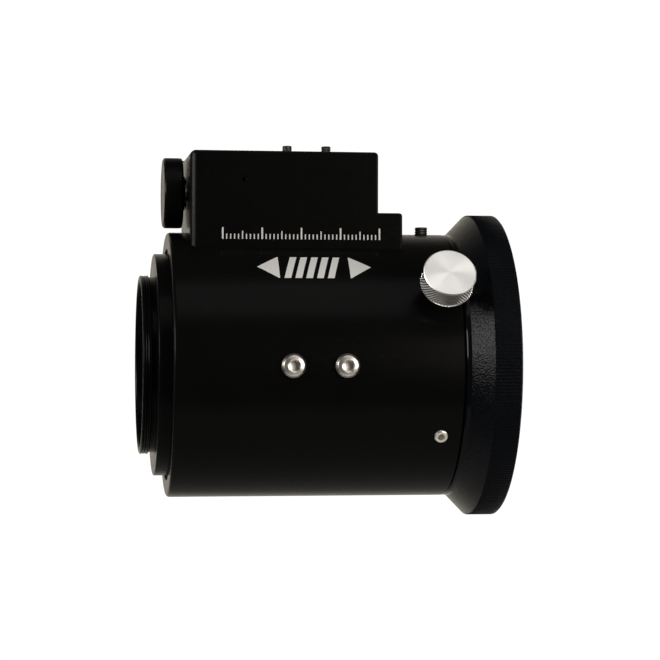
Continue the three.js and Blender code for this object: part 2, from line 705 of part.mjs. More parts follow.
place('drive_nut', driveNut(), brass).position.z = DRIVE_HEIGHT;
place('carriage_bracket', carriageBracket(), turnedAluminium);
BRACKET_SCREWS.forEach((y, index) => {
  const length = BRACKET_SCREW_TOP - BRACKET_HEAD_TOP;
  const screw = capScrew(-length, 0, M2, BRACKET_HEAD_RADIUS, BRACKET_HEAD_HEIGHT);
  screw.rotateX(Math.PI).translate(BRACKET_CENTRE, y, BRACKET_HEAD_TOP);
  place(`bracket_screw_${index + 1}`, screw, stainless);
});

place('circuit_board', block(BOARD.x, BOARD.y, BOARD.z), boardGreen);
place('data_socket', dataSocket(), stainless);
place('limit_switch', block(LIMIT_SWITCH.x, LIMIT_SWITCH.y, LIMIT_SWITCH.z), blackPlastic);
const sensor = rodY(SENSOR.front, SENSOR.back, SENSOR.radius, VENT.x, VENT.z);
place('temperature_sensor', sensor, blackPlastic);

placeRadial('lock_pad', lockPad(), slidingPlastic, LOCK_X, LOCK_ANGLE);
placeRadial('lock_stem', lockStem(), stainless, LOCK_X, LOCK_ANGLE);
placeRadial('lock_knob', lockKnob(), turnedAluminium, LOCK_X, LOCK_ANGLE);

export default group;
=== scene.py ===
"""Looks of a motorised telescope focuser with a rotatable flange.

Everything is built in millimetres, in the part's own frame, and scaled to metres on the way in.
+X is the optical axis towards the telescope, +Z is up, and the near side is -Y.
"""

import json
import math

import bmesh
import bpy
from mathutils import Matrix, Vector

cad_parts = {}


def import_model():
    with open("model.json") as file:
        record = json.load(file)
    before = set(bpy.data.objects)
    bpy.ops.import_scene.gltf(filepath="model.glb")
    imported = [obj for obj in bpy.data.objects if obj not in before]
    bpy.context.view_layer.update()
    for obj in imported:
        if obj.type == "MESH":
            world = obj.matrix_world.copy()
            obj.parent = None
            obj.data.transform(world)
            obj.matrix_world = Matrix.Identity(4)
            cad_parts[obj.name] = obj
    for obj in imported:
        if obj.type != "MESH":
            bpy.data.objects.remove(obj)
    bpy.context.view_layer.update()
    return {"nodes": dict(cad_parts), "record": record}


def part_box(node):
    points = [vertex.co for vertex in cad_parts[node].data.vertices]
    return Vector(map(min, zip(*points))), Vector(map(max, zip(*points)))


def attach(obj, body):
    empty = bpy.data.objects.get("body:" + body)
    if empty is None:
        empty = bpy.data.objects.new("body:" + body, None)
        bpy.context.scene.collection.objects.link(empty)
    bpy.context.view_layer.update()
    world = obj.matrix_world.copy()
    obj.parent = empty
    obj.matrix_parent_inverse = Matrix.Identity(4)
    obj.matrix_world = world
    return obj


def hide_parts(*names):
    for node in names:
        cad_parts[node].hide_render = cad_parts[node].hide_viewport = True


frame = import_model()
MM = 0.001
FULL_TURN = 2 * math.pi


# ------------------------------------------------------------------ sizes from the frame

def node_box(node):
    """Lowest and highest corner of a CAD node, in millimetres."""
    low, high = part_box(node)
    return low / MM, high / MM


BODY_LOW, BODY_HIGH = node_box("body_tube")
BODY_RADIUS = BODY_HIGH.z
TUBE_LOW, TUBE_HIGH = node_box("drawtube")
TUBE_RADIUS = TUBE_HIGH.z
ADAPTER_LOW, ADAPTER_HIGH = node_box("camera_adapter")
ADAPTER_RADIUS = ADAPTER_HIGH.z
FLANGE_LOW, FLANGE_HIGH = node_box("telescope_flange")
RIM_RADIUS = FLANGE_HIGH.z
HOUSING_LOW, HOUSING_HIGH = node_box("motor_housing")
COVER_LOW, COVER_HIGH = node_box("rear_cover")
KNOB_LOW, KNOB_HIGH = node_box("focus_knob")


# ------------------------------------------------------------------ sizes that a box doesn't give

BODY_BORE = 35.0
TUBE_BORE = 29.0
NOSE_RADIUS = 27.0
NOSE_BORE = 25.4

FLANGE_NECK = -13.8
FLANGE_RIM_LEFT = -7.85
SHOULDER = BODY_HIGH.x + 0.3
SHOULDER_END = SHOULDER + 0.55
SHOULDER_CHAMFER = 0.5
HUB_RADIUS = 34.6
HUB_BORE = 30
GROOVE_X = -21.7
GROOVE_RADIUS = 32.3
RECESS_FLOOR = -9
RECESS_RADIUS = 42.6
THREAD_RADIUS = 41.8
THREAD_LEFT, THREAD_RIGHT = -7.3, -0.7
THREAD_PITCH = 25.4 / 16
KNURL_TEETH = 290
KNURL_DEPTH = 0.32

BOX_RIGHT = -38.2
FOOT_TOP = 45.4
WALL = 2.5
DRIVE_HEIGHT = 52.0
SOCKET = (-56.0, 52.0)
VENT = (-78.4, 54.9)
KNOB_RIGHT = -95.4
KNOB_SCREW_X = -98.3
KNOB_TEETH = 90

LOCK_X = -21.4
LOCK_ANGLE = 30.7
LOCK_HEAD = 7.7
LOCK_BOTTOM = 46.0
LOCK_TOP = 52.64
LOCK_NECK = 4.5
LOCK_TEETH = 54
LOCK_LEAD = 1.35

# radii of the screws' threads, their pitches, and the radius of the holes for M4
M3, M4 = 1.5, 2.0
M3_PITCH, M4_PITCH = 0.5, 0.7
M4_HOLE = 2.12
KEY_SCREWS = {"key_screw_1": -66.0, "key_screw_2": -50.4}
# place on the axis, angle, distance of the outer end from the axis, and slot
SET_SCREWS = {
    "top": (GROOVE_X, 90, 42.3, "black_steel"),
    "front": (-21.9, -30.9, 40.7, "stainless"),
    "rear": (GROOVE_X, 210, 40.7, "stainless"),
}
CLAMP_SCREWS = (-63.3, -51.3)
CLAMP_SCREW_TOP = 66.85
# x and z of each screw in the rear cover
COVER_SCREWS = {
    "cover_screw_upper_left": (-89.2, 58.3),
    "cover_screw_upper_right": (-43.2, 58.3),
    "cover_screw_lower_left": (-89.9, 45.4),
    "cover_screw_lower_right": (-38.8, 42.0),
}


# ------------------------------------------------------------------ materials

class Material:
    """A Principled material with small helpers for its procedural detail."""

    def __init__(self, name, color, roughness, metallic=0.0, **sockets):
        self.material = bpy.data.materials.new(name)
        self.material.use_nodes = True
        self.nodes = self.material.node_tree.nodes
        self.links = self.material.node_tree.links
        self.shader = self.nodes["Principled BSDF"]
        self.set("Base Color", (*color, 1))
        self.set("Roughness", roughness)
        self.set("Metallic", metallic)
        for socket, value in sockets.items():
            self.set(socket.replace("_", " "), value)
        self.color = color

    def set(self, socket, value):
        self.shader.inputs[socket].default_value = value

    def coordinates(self, stretch=(1, 1, 1)):
        """Object coordinates, in metres, multiplied by `stretch`."""
        where = self.nodes.new("ShaderNodeTexCoord")
        mapping = self.nodes.new("ShaderNodeMapping")
        mapping.inputs["Scale"].default_value = stretch
        self.links.new(where.outputs["Object"], mapping.inputs["Vector"])
        return mapping.outputs["Vector"]

    def noise(self, size_mm, detail=2.0, stretch=(1, 1, 1), rough=0.5):
        texture = self.nodes.new("ShaderNodeTexNoise")
        texture.inputs["Scale"].default_value = 1 / (size_mm * MM)
        texture.inputs["Detail"].default_value = detail
        texture.inputs["Roughness"].default_value = rough
        self.links.new(self.coordinates(stretch), texture.inputs["Vector"])
        return texture.outputs["Fac"]

    def span(self, value, ends, values=(0.0, 1.0)):
        """Carries `value` from between `ends` to between `values`, and holds it there."""
        span = self.nodes.new("ShaderNodeMapRange")
        span.inputs["From Min"].default_value, span.inputs["From Max"].default_value = ends
        span.inputs["To Min"].default_value, span.inputs["To Max"].default_value = values
        self.links.new(value, span.inputs["Value"])
        return span.outputs["Result"]

    def place_on(self, axis):
        """The place along an axis of the object, in metres."""
        split = self.nodes.new("ShaderNodeSeparateXYZ")
        self.links.new(self.coordinates(), split.inputs["Vector"])
        return split.outputs[axis]

    def spread(self, factor, low, high, socket):
        """Drives a number socket between `low` and `high` by a noise factor."""
        spread = self.span(factor, (0.3, 0.7), (low, high))
        self.links.new(spread, self.shader.inputs[socket])

    def tint(self, factor, dark, light):
        """Varies the base colour from `dark` to `light` times itself."""
        mix = self.nodes.new("ShaderNodeMix")
        mix.data_type = "RGBA"
        mix.inputs["A"].default_value = (*(c * dark for c in self.color), 1)
        mix.inputs["B"].default_value = (*(c * light for c in self.color), 1)
        self.links.new(factor, mix.inputs["Factor"])
        self.links.new(mix.outputs["Result"], self.shader.inputs["Base Color"])

    def along(self, axis, ends_mm, values, socket, node=None):
        """Drives a number socket from one value to another between two places on an axis."""
        value = self.span(self.place_on(axis), [end * MM for end in ends_mm], values)
        self.links.new(value, (node or self.shader).inputs[socket])

    def painted_groove_shade(self, radii_mm, face_mm):
        """A mask for painted shade in the knurl's grooves: runs from 0 to 1 between two distances from the
        Z axis, and is 1 on the end face.
        """
        away = self.nodes.new("ShaderNodeVectorMath")
        away.operation = "LENGTH"
        self.links.new(self.coordinates((1, 1, 0)), away.inputs[0])
        side = self.span(away.outputs["Value"], [radius * MM for radius in radii_mm])
        face = self.span(self.place_on("Z"), [(face_mm - 0.4) * MM, (face_mm - 0.3) * MM])
        either = self.nodes.new("ShaderNodeMath")
        either.operation = "MAXIMUM"
        self.links.new(side, either.inputs[0])
        self.links.new(face, either.inputs[1])
        return either.outputs["Value"]

    def bump(self, factor, depth_mm, strength=1.0):
        """Adds a bump on top of those before it, and returns its node."""
        bump = self.nodes.new("ShaderNodeBump")
        bump.inputs["Distance"].default_value = depth_mm * MM
        bump.inputs["Strength"].default_value = strength
        self.links.new(factor, bump.inputs["Height"])
        previous = self.shader.inputs["Normal"].links
        if previous:
            self.links.new(previous[0].from_socket, bump.inputs["Normal"])
        self.links.new(bump.outputs["Normal"], self.shader.inputs["Normal"])
        return bump

    def rings(self, pitch_mm, axis="Z"):
        """Concentric rings about an axis of the object."""
        wave = self.nodes.new("ShaderNodeTexWave")
        wave.wave_type = "RINGS"
        wave.rings_direction = axis
        wave.inputs["Scale"].default_value = 0.314 / (pitch_mm * MM) / 2
        wave.inputs["Distortion"].default_value = 0.6
        wave.inputs["Detail Scale"].default_value = 2.0
        self.links.new(self.coordinates(), wave.inputs["Vector"])
        return wave.outputs["Fac"]


def black_anodised():
    m = Material("black_anodised", (0.0036, 0.0035, 0.0035), 0.26, Specular_IOR_Level=0.046)
    m.tint(m.noise(14, 3), 0.85, 1.2)
    m.spread(m.noise(1.2, 3, stretch=(0.5, 1, 1)), 0.22, 0.28, "Roughness")
    m.bump(m.noise(0.16, 2), 0.002, 0.3)
    return m.material


def black_blasted():
    """Bead blasted on the cone, machined smooth on the shoulder before it, dull on the rim after it."""
    m = Material("black_blasted", (0.0034, 0.0040, 0.0056), 0.4)
    m.tint(m.noise(5, 3), 0.85, 1.2)
    m.along("X", (FLANGE_NECK - 0.2, FLANGE_NECK), (0.09, 0.22), "Roughness")
    m.along("X", (FLANGE_RIM_LEFT - 0.3, FLANGE_RIM_LEFT), (0.09, 0.035), "Specular IOR Level")
    grain = m.bump(m.noise(0.6, 2, rough=0.65), 0.15)
    m.along("X", (FLANGE_NECK - 0.2, FLANGE_NECK), (0.0, 1.0), "Strength", grain)
    return m.material


def black_steel():
    m = Material("black_steel", (0.13, 0.12, 0.105), 0.32, metallic=0.85)
    m.tint(m.noise(1.2, 3), 0.5, 1.7)
    m.spread(m.noise(0.3, 2), 0.25, 0.42, "Roughness")
    m.bump(m.noise(0.12, 2), 0.004, 0.4)
    return m.material


def stainless():
    m = Material("stainless", (0.84, 0.80, 0.74), 0.3, metallic=1.0)
    m.tint(m.noise(1.5, 3), 0.86, 1.08)
    m.spread(m.noise(0.25, 3), 0.26, 0.42, "Roughness")
    m.bump(m.rings(0.18), 0.004, 0.5)
    m.bump(m.noise(0.1, 2), 0.003, 0.3)
    return m.material


def turned_aluminium():
    """Turned on the end face. The knurled side is smoother, with painted shade that darkens its base colour
    down in its grooves.
    """
    m = Material("turned_aluminium", (0.88, 0.87, 0.855), 0.4, metallic=1.0, Anisotropic=0.75)
    tangent = m.nodes.new("ShaderNodeTangent")
    tangent.direction_type = "RADIAL"
    tangent.axis = "Z"
    m.links.new(tangent.outputs["Tangent"], m.shader.inputs["Tangent"])
    # painted shade: the base colour drops to 0.12 of itself down in the knurl's grooves, and stays full on
    # the crests and the end face
    m.tint(m.painted_groove_shade((LOCK_HEAD - 0.5, LOCK_HEAD - 0.05), LOCK_TOP), 0.12, 1.0)
    m.along("Z", (LOCK_TOP - 0.5, LOCK_TOP - 0.1), (0.2, 0.4), "Roughness")
    m.bump(m.rings(0.22), 0.006, 0.6)
    return m.material


def brass():
    m = Material("brass", (0.62, 0.47, 0.2), 0.34, metallic=1.0)
    m.tint(m.noise(2, 3), 0.85, 1.1)
    m.spread(m.noise(0.4, 2), 0.28, 0.42, "Roughness")
    return m.material


def slide_plastic():
    m = Material("slide_plastic", (0.045, 0.043, 0.04), 0.55)
    m.tint(m.noise(2, 3), 0.85, 1.15)
    m.bump(m.noise(0.3, 2), 0.01, 0.4)
    return m.material


def black_plastic():
    m = Material("black_plastic", (0.012, 0.012, 0.012), 0.5)
    m.tint(m.noise(1, 3), 0.8, 1.3)
    m.bump(m.noise(0.15, 2), 0.008, 0.5)
    return m.material


def board():
    m = Material("board", (0.02, 0.12, 0.05), 0.4)
    m.tint(m.noise(1.5, 4), 0.6, 1.4)
    return m.material


def print_white():
    m = Material("print_white", (0.78, 0.78, 0.76), 0.5)
    m.tint(m.noise(0.4, 3), 0.9, 1.04)
    m.bump(m.noise(0.2, 2), 0.004, 0.4)
    return m.material


def print_silver():
    m = Material("print_silver", (0.8, 0.8, 0.78), 0.45, metallic=0.1)
    m.tint(m.noise(0.5, 3), 0.92, 1.04)
    m.bump(m.noise(0.2, 2), 0.004, 0.4)
    return m.material


def pale_floor():
    m = Material("pale_floor", (0.72, 0.72, 0.72), 0.85)
    m.tint(m.noise(60, 2), 0.985, 1.01)
    return m.material


MATERIALS = {
    "black_anodised": black_anodised(),
    "black_blasted": black_blasted(),
    "black_steel": black_steel(),
    "stainless": stainless(),
    "turned_aluminium": turned_aluminium(),
    "brass": brass(),
    "slide_plastic": slide_plastic(),
    "black_plastic": black_plastic(),
    "board": board(),
}
PRINT_WHITE = print_white()
PRINT_SILVER = print_silver()


# ------------------------------------------------------------------ mesh building

SHARP = 32


def near(value, target, slack=0.01):
    return abs(value - target) < slack


def ramp(phase):
    """A triangle wave from 0 to 1 and back over one phase."""
    return abs(2 * (phase % 1) - 1)


def finish_mesh(bm, name, material, sharp=SHARP):
    """Turns a bmesh in millimetres into an object in metres, smooth with sharp creases."""
    bmesh.ops.remove_doubles(bm, verts=bm.verts, dist=1e-5)
    bmesh.ops.recalc_face_normals(bm, faces=bm.faces)
    bmesh.ops.scale(bm, vec=(MM, MM, MM), verts=bm.verts)
    mesh = bpy.data.meshes.new(name)
    bm.to_mesh(mesh)
    bm.free()
    mesh.polygons.foreach_set("use_smooth", [True] * len(mesh.polygons))
    mesh.set_sharp_from_angle(angle=math.radians(sharp))
    mesh.materials.append(material)
    obj = bpy.data.objects.new(name, mesh)
    bpy.context.scene.collection.objects.link(obj)
    return obj


def soften(corners, steps=4):
    """Rounds the corners (x, radius, fillet) of a closed outline."""
    points = []
    for i, (x, radius, fillet) in enumerate(corners):
        here = Vector((x, radius))
        if fillet <= 0:
            points.append(here)
            continue
        before = Vector(corners[i - 1][:2]) - here
        after = Vector(corners[(i + 1) % len(corners)][:2]) - here
        reach = fillet / math.tan(before.angle(after) / 2)
        reach = min(reach, before.length * 0.49, after.length * 0.49)
        start = here + before.normalized() * reach
        end = here + after.normalized() * reach
        for k in range(steps + 1):
            t = k / steps
            points.append((1 - t) ** 2 * start + 2 * t * (1 - t) * here + t * t * end)
    return points


def densify(points, step, wanted):
    """Splits the outline's segments to at most `step` where wanted(x, radius) holds at both ends."""
    result = []
    for i, a in enumerate(points):
        b = points[(i + 1) % len(points)]
        result.append(a)
        if wanted(*a) and wanted(*b):
            count = max(1, math.ceil((b - a).length / step - 1e-6))
            result.extend(a.lerp(b, k / count) for k in range(1, count))
    return result


def revolve(name, outline, material, steps=192, relief=None, axis="X", sharp=SHARP):
    """Turns a closed outline of (along, radius) about an axis.

    relief(along, radius, turn) may change the radius. The turn runs from 0 to 1.
    """
    bm = bmesh.new()
    rows = []
    for i in range(steps):
        turn = i / steps
        c, s = math.cos(FULL_TURN * turn), math.sin(FULL_TURN * turn)
        row = []
        for along, radius in outline:
            r = relief(along, radius, turn) if relief else radius
            place = (along, r * c, r * s) if axis == "X" else (r * c, r * s, along)
            row.append(bm.verts.new(place))
        rows.append(row)
    count = len(outline)
    for i in range(steps):
        here, after = rows[i], rows[(i + 1) % steps]
        for j in range(count):
            k = (j + 1) % count
            bm.faces.new((here[j], here[k], after[k], after[j]))
    return finish_mesh(bm, name, material, sharp)


def applied(obj):
    """Replaces the object's mesh by what its modifiers make of it."""
    depsgraph = bpy.context.evaluated_depsgraph_get()
    mesh = bpy.data.meshes.new_from_object(obj.evaluated_get(depsgraph))
    obj.modifiers.clear()
    obj.data = mesh
    return obj


def cut(obj, *tools, sharp=SHARP):
    """Cuts the tools out of the object, and deletes them."""
    for tool in tools:
        modifier = obj.modifiers.new("cut", "BOOLEAN")
        modifier.operation = "DIFFERENCE"
        modifier.solver = "EXACT"
        modifier.object = tool
    applied(obj)
    for tool in tools:
        bpy.data.objects.remove(tool)
    obj.data.set_sharp_from_angle(angle=math.radians(sharp))
    return obj


def even_normals(obj):
    """Keeps large flat faces flat beside their rounded edges."""
    modifier = obj.modifiers.new("flat_faces", "WEIGHTED_NORMAL")
    modifier.keep_sharp = True
    modifier.weight = 80
    return obj


def prism(name, outline, y0, y1, material, bevels=(), width=1.0, segments=5):
    """Extrudes an outline of (x, z) from y0 to y1. bevels pairs tests of edges with shares of width."""
    bm = bmesh.new()
    weights = bm.edges.layers.float.new("bevel_weight_edge")
    front = [bm.verts.new((x, y0, z)) for x, z in outline]
    back = [bm.verts.new((x, y1, z)) for x, z in outline]
    bm.faces.new(front)
    bm.faces.new(list(reversed(back)))
    for i in range(len(outline)):
        k = (i + 1) % len(outline)
        bm.faces.new((front[k], front[i], back[i], back[k]))
    for edge in bm.edges:
        middle = (edge.verts[0].co + edge.verts[1].co) / 2
        for test, share in bevels:
            if test(middle):
                edge[weights] = share
    obj = finish_mesh(bm, name, material)
    if bevels:
        modifier = obj.modifiers.new("edges", "BEVEL")
        modifier.limit_method = "WEIGHT"
        modifier.width = width * MM
        modifier.segments = segments
        modifier.miter_outer = "MITER_ARC"
        applied(obj)
        obj.data.set_sharp_from_angle(angle=math.radians(SHARP))
    return obj


def rectangle(x0, z0, x1, z1):
    return [(x0, z0), (x1, z0), (x1, z1), (x0, z1)]


def edge_at(x=None, y=None, z=None):
    """A test of whether an edge's middle has these coordinates."""
    def test(middle):
        pairs = ((x, middle.x), (y, middle.y), (z, middle.z))
        return all(near(value, wanted) for wanted, value in pairs if wanted is not None)
    return test


def block(name, low, high):
    """A cutter between two corners."""
    outline = rectangle(low[0], low[2], high[0], high[2])
    return prism(name, outline, low[1], high[1], MATERIALS["black_anodised"])


TO_REAR = Matrix.Rotation(-math.pi / 2, 4, "X")
TO_FRONT = Matrix.Rotation(math.pi / 2, 4, "X")
TO_LEFT = Matrix.Rotation(-math.pi / 2, 4, "Y")


def at(x, y, z):
    """The place of a piece, given in millimetres."""
    return Matrix.Translation((x * MM, y * MM, z * MM))


def at_angle(x, angle):
    """The place and turn of a piece made along +Z, pointing out of the body at `angle` degrees."""
    tilt = math.radians(90 - angle)
    return at(x, 0, 0) @ Matrix.Rotation(tilt, 4, "X")


def rod(name, z0, z1, radius, mouth=0.0, steps=64):
    """A cutter along Z. A mouth widens it by that much over its last half millimetre."""
    outline = [Vector((z0, 0)), Vector((z0, radius)), Vector((z1 - 1, radius))]
    outline.append(Vector((z1 - 1 + 2 * mouth, radius + 2 * mouth)))
    outline += [Vector((z1, radius + 2 * mouth)), Vector((z1, 0))]
    return revolve(name, outline, MATERIALS["black_anodised"], steps, axis="Z")


def hole(where, z0, z1, radius, mouth=0.0, steps=64):
    """A rod that stands at `where`."""
    tool = rod("hole", z0, z1, radius, mouth, steps)
    tool.matrix_world = where
    return tool


def radial_hole(x, angle, mouth=0.0):
    """A cutter for an M4 hole through the wall of the body."""
    return hole(at_angle(x, angle), 30, BODY_RADIUS + 0.8, M4_HOLE, mouth)


def threaded(pitch, depth, start, end, low, high):
    """A relief that cuts a helical thread where start < along < end and low < radius < high."""
    def relief(along, radius, turn):
        if not (start < along < end and low < radius < high):
            return radius
        fade = min(1, (along - start) / pitch, (end - along) / pitch)
        return radius - depth * fade * ramp(along / pitch - turn)
    return relief


def place(obj, body, slot, *nodes, where=None):
    """Puts a piece on its body and hides the nodes that it stands for. The slot argument is not used."""
    if where is not None:
        obj.matrix_world = where
    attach(obj, body)
    if nodes:
        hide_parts(*nodes)
    return obj


# ------------------------------------------------------------------ body

def body_tube():
    left, right = BODY_LOW.x, BODY_HIGH.x
    outline = soften([
        (left, BODY_BORE, 0.2),
        (right, BODY_BORE, 0.2),
        (right, BODY_RADIUS - 0.35, 0.1),
        (right - 0.35, BODY_RADIUS, 0.1),
        (left, BODY_RADIUS, 1.1),
    ], 7)
    tube = revolve("body_tube_shell", outline, MATERIALS["black_anodised"], 256)
    tools = [radial_hole(x, angle, 0.18) for x, angle, *_ in SET_SCREWS.values()]
    tools += [radial_hole(x, 0) for x in KEY_SCREWS.values()]
    tools.append(radial_hole(LOCK_X, LOCK_ANGLE, 0.18))
    carriage_slot = block("slot", (-89.5, -5, 33), (-72.5, 5, 42))
    cut(tube, *tools, carriage_slot)
    return place(tube, "focuser_body", "black_anodised", "body_tube")


def bush(node):
    """One of the two rings that the drawtube slides in."""
    low, high = node_box(node)
    inner = TUBE_RADIUS + 0.12
    outline = soften([
        (low.x, inner, 0.2),
        (high.x, inner, 0.2),
        (high.x, BODY_BORE - 0.05, 0.1),
        (low.x, BODY_BORE - 0.05, 0.1),
    ], 3)
    ring = revolve(f"{node}_ring", outline, MATERIALS["slide_plastic"], 192)
    return place(ring, "focuser_body", "slide_plastic", node)


# ------------------------------------------------------------------ drawtube and camera adapter

def drawtube():
    left, right = TUBE_LOW.x, TUBE_HIGH.x
    recess = ADAPTER_RADIUS + 0.06
    bore_start = left + 6
    outline = soften([
        (left, recess, 0.1),
        (bore_start, recess, 0),
        (bore_start, TUBE_BORE, 0.1),
        (right, TUBE_BORE, 0.2),
        (right, TUBE_RADIUS, 0.4),
        (left, TUBE_RADIUS, 0.45),
    ], 4)
    pitch, depth = 1.5, 0.35
    outline = densify(outline, pitch / 4, lambda x, radius: near(radius, TUBE_BORE))

    def baffles(x, radius, turn):
        """Fine anti-glare grooves down the bore."""
        if not near(radius, TUBE_BORE) or not bore_start + 1 < x < right - 1:
            return radius
        return radius + depth * ramp(x / pitch - turn)

    tube = revolve("drawtube_barrel", outline, MATERIALS["black_anodised"], 160, baffles)
    keyway = block("keyway", (-72.2, -TUBE_RADIUS - 2, -3.3), (right + 2, -31.5, 3.3))
    bracket_pocket = block("pocket", (-78.7, -4.2, 32), (-73.3, 4.2, TUBE_RADIUS + 2))
    screw_holes = [hole(at(-76, y, 0), 26, 30.4, 2.05) for y in (-2.2, 2.2)]
    cut(tube, keyway, bracket_pocket, *screw_holes)
    return place(tube, "drawtube_carriage", "black_anodised", "drawtube")


def camera_adapter():
    left, right = ADAPTER_LOW.x, ADAPTER_HIGH.x
    shoulder = TUBE_LOW.x
    undercut = NOSE_RADIUS - 0.55
    outline = soften([
        (left, NOSE_BORE + 0.5, 0.05),
        (left + 0.5, NOSE_BORE, 0.1),
        (right, NOSE_BORE, 0.2),
        (right, ADAPTER_RADIUS, 0.2),
        (shoulder, ADAPTER_RADIUS, 0.1),
        (shoulder, undercut, 0.05),
        (shoulder - 1.45, undercut, 0.05),
        (shoulder - 1.75, NOSE_RADIUS, 0),
        (left + 0.35, NOSE_RADIUS, 0.08),
        (left, NOSE_RADIUS - 0.5, 0.08),
    ], 3)
    outline = densify(outline, 0.1, lambda x, radius: radius > NOSE_RADIUS - 0.01 and x < shoulder - 1)
    thread = threaded(0.75, 0.3, left + 0.2, shoulder - 1.7, NOSE_RADIUS - 0.01, NOSE_RADIUS + 1)
    nose = revolve("camera_adapter_ring", outline, MATERIALS["black_anodised"], 256, thread, sharp=50)
    return place(nose, "drawtube_carriage", "black_anodised", "camera_adapter")


# ------------------------------------------------------------------ telescope flange

def flange_outline():
    """The flange's section, round from the hub's bore by the recess and the rim to the hub's outside."""
    hub_left, right = FLANGE_LOW.x, 0
    knurl_slope = (FLANGE_RIM_LEFT - KNURL_DEPTH * 1.2, RIM_RADIUS - KNURL_DEPTH * 1.23, 0)
    return soften([
        (hub_left, HUB_BORE, 0.3),
        (RECESS_FLOOR, HUB_BORE, 0.4),
        (RECESS_FLOOR, RECESS_RADIUS, 0.2),
        (THREAD_LEFT - 0.6, RECESS_RADIUS, 0.1),
        (THREAD_LEFT, THREAD_RADIUS, 0),
        (THREAD_RIGHT, THREAD_RADIUS, 0),
        (right, THREAD_RADIUS + 0.7, 0.1),
        (right, RIM_RADIUS - 0.45, 0.12),
        (right - 0.45, RIM_RADIUS, 0.12),
        (FLANGE_RIM_LEFT, RIM_RADIUS, 0.04),
        knurl_slope,
        (FLANGE_NECK, BODY_RADIUS, 0.08),
        (SHOULDER_END, BODY_RADIUS, 0.05),
        (SHOULDER, BODY_RADIUS - SHOULDER_CHAMFER, 0.03),
        (SHOULDER, HUB_RADIUS, 0.1),
        (GROOVE_X + 3.1, HUB_RADIUS, 0.1),
        (GROOVE_X + 1.4, GROOVE_RADIUS, 0.1),
        (GROOVE_X - 1.4, GROOVE_RADIUS, 0.1),
        (GROOVE_X - 3.1, HUB_RADIUS, 0.1),
        (hub_left, HUB_RADIUS, 0.3),
    ], 3)


def on_inner_thread(x, radius):
    return near(radius, THREAD_RADIUS) and THREAD_LEFT - 0.1 < x < THREAD_RIGHT + 0.1


def on_rim(x, radius):
    return radius > RIM_RADIUS - 0.8 and x < -0.4


def flange_relief(x, radius, turn):
    """The thread inside and the knurl on the rim."""
    if on_inner_thread(x, radius):
        fade = min(1, (x - THREAD_LEFT + 0.1) / 0.6, (THREAD_RIGHT + 0.1 - x) / 0.6)
        return radius + 0.75 * fade * ramp(x / THREAD_PITCH - turn)
    if on_rim(x, radius) and x < -0.75:
        return min(radius, RIM_RADIUS - KNURL_DEPTH * ramp(turn * KNURL_TEETH))
    return radius


def telescope_flange():
    outline = densify(flange_outline(), THREAD_PITCH / 6, on_inner_thread)
    outline = densify(outline, 0.25, lambda x, radius: on_rim(x, radius) and x < FLANGE_RIM_LEFT + 0.3)
    steps = KNURL_TEETH * 4
    material = MATERIALS["black_blasted"]
    flange = revolve("telescope_flange_ring", outline, material, steps, flange_relief, sharp=50)
    even_normals(flange)
    return place(flange, "flange", "black_blasted", "telescope_flange")


# ------------------------------------------------------------------ motor housing

def housing_outline(inset=0.0):
    left, right = HOUSING_LOW.x + inset, HOUSING_HIGH.x - inset
    top = HOUSING_HIGH.z - inset
    step_x = BOX_RIGHT - inset
    step_z = FOOT_TOP - inset
    return [(left, 30), (right, 30), (right, step_z), (step_x, step_z), (step_x, top), (left, top)]


def saddle():
    """A cutter that leaves the housing sitting on the body."""
    left, right, radius = HOUSING_LOW.x - 5, HOUSING_HIGH.x + 5, BODY_RADIUS + 0.04
    outline = [Vector((left, 0)), Vector((left, radius)), Vector((right, radius)), Vector((right, 0))]
    return revolve("saddle", outline, MATERIALS["black_anodised"], 256)


def motor_housing():
    left, top = HOUSING_LOW.x, HOUSING_HIGH.z
    front, back = HOUSING_LOW.y, HOUSING_HIGH.y + 0.15
    bevels = [
        (edge_at(y=front, z=top), 0.22),
        (edge_at(y=front, x=BOX_RIGHT), 0.2),
        (edge_at(y=front, z=FOOT_TOP), 0.16),
        (edge_at(y=front, x=HOUSING_HIGH.x), 0.2),
        (edge_at(y=front, x=left), 1.0),
        (edge_at(x=left, z=top), 0.5),
        (edge_at(x=BOX_RIGHT, z=top), 0.4),
        (edge_at(x=HOUSING_HIGH.x, z=FOOT_TOP), 0.3),
    ]
    shell = prism("motor_housing_shell", housing_outline(), front, back,
                  MATERIALS["black_anodised"], bevels, 3.2, 7)
    cavity = block("cavity", (left + WALL, front + WALL, 25), (BOX_RIGHT - WALL, back + 2, top - WALL))
    cradle = saddle()
    screw_holes = [hole(at(x, 0, 0), top - 4, top + 0.8, 1.6, 0.12) for x in CLAMP_SCREWS]
    vent = hole(at(VENT[0], front, VENT[1]) @ TO_FRONT, -4, 0.8, 0.5, 0.1, 32)
    bearing = hole(at(left, 0, DRIVE_HEIGHT) @ TO_LEFT, -4, 0.8, 4.85)
    cut(shell, cavity, cradle, *screw_holes, vent, bearing)
    even_normals(shell)
    return place(shell, "focuser_body", "black_anodised", "motor_housing")


def rear_cover():
    back = COVER_HIGH.y
    bevels = [(lambda middle: near(middle.y, back) and middle.z > 35, 1.0)]
    plate = prism("rear_cover_plate", housing_outline(0.05), COVER_LOW.y, back,
                  MATERIALS["black_anodised"], bevels, 0.45, 4)
    cradle = saddle()
    seats = [at(x, 0, z) @ TO_REAR for x, z in COVER_SCREWS.values()]
    sinks = [hole(seat, back - 1.9, back + 0.8, 2.4, 0.1) for seat in seats]
    x, z = SOCKET
    mouth = block("mouth", (x - 4.65, back - 5, z - 2.75), (x + 4.65, back + 2, z + 2.75))
    cut(plate, cradle, *sinks, mouth)
    even_normals(plate)
    return place(plate, "focuser_body", "black_anodised", "rear_cover")


# ------------------------------------------------------------------ screws, made along +Z

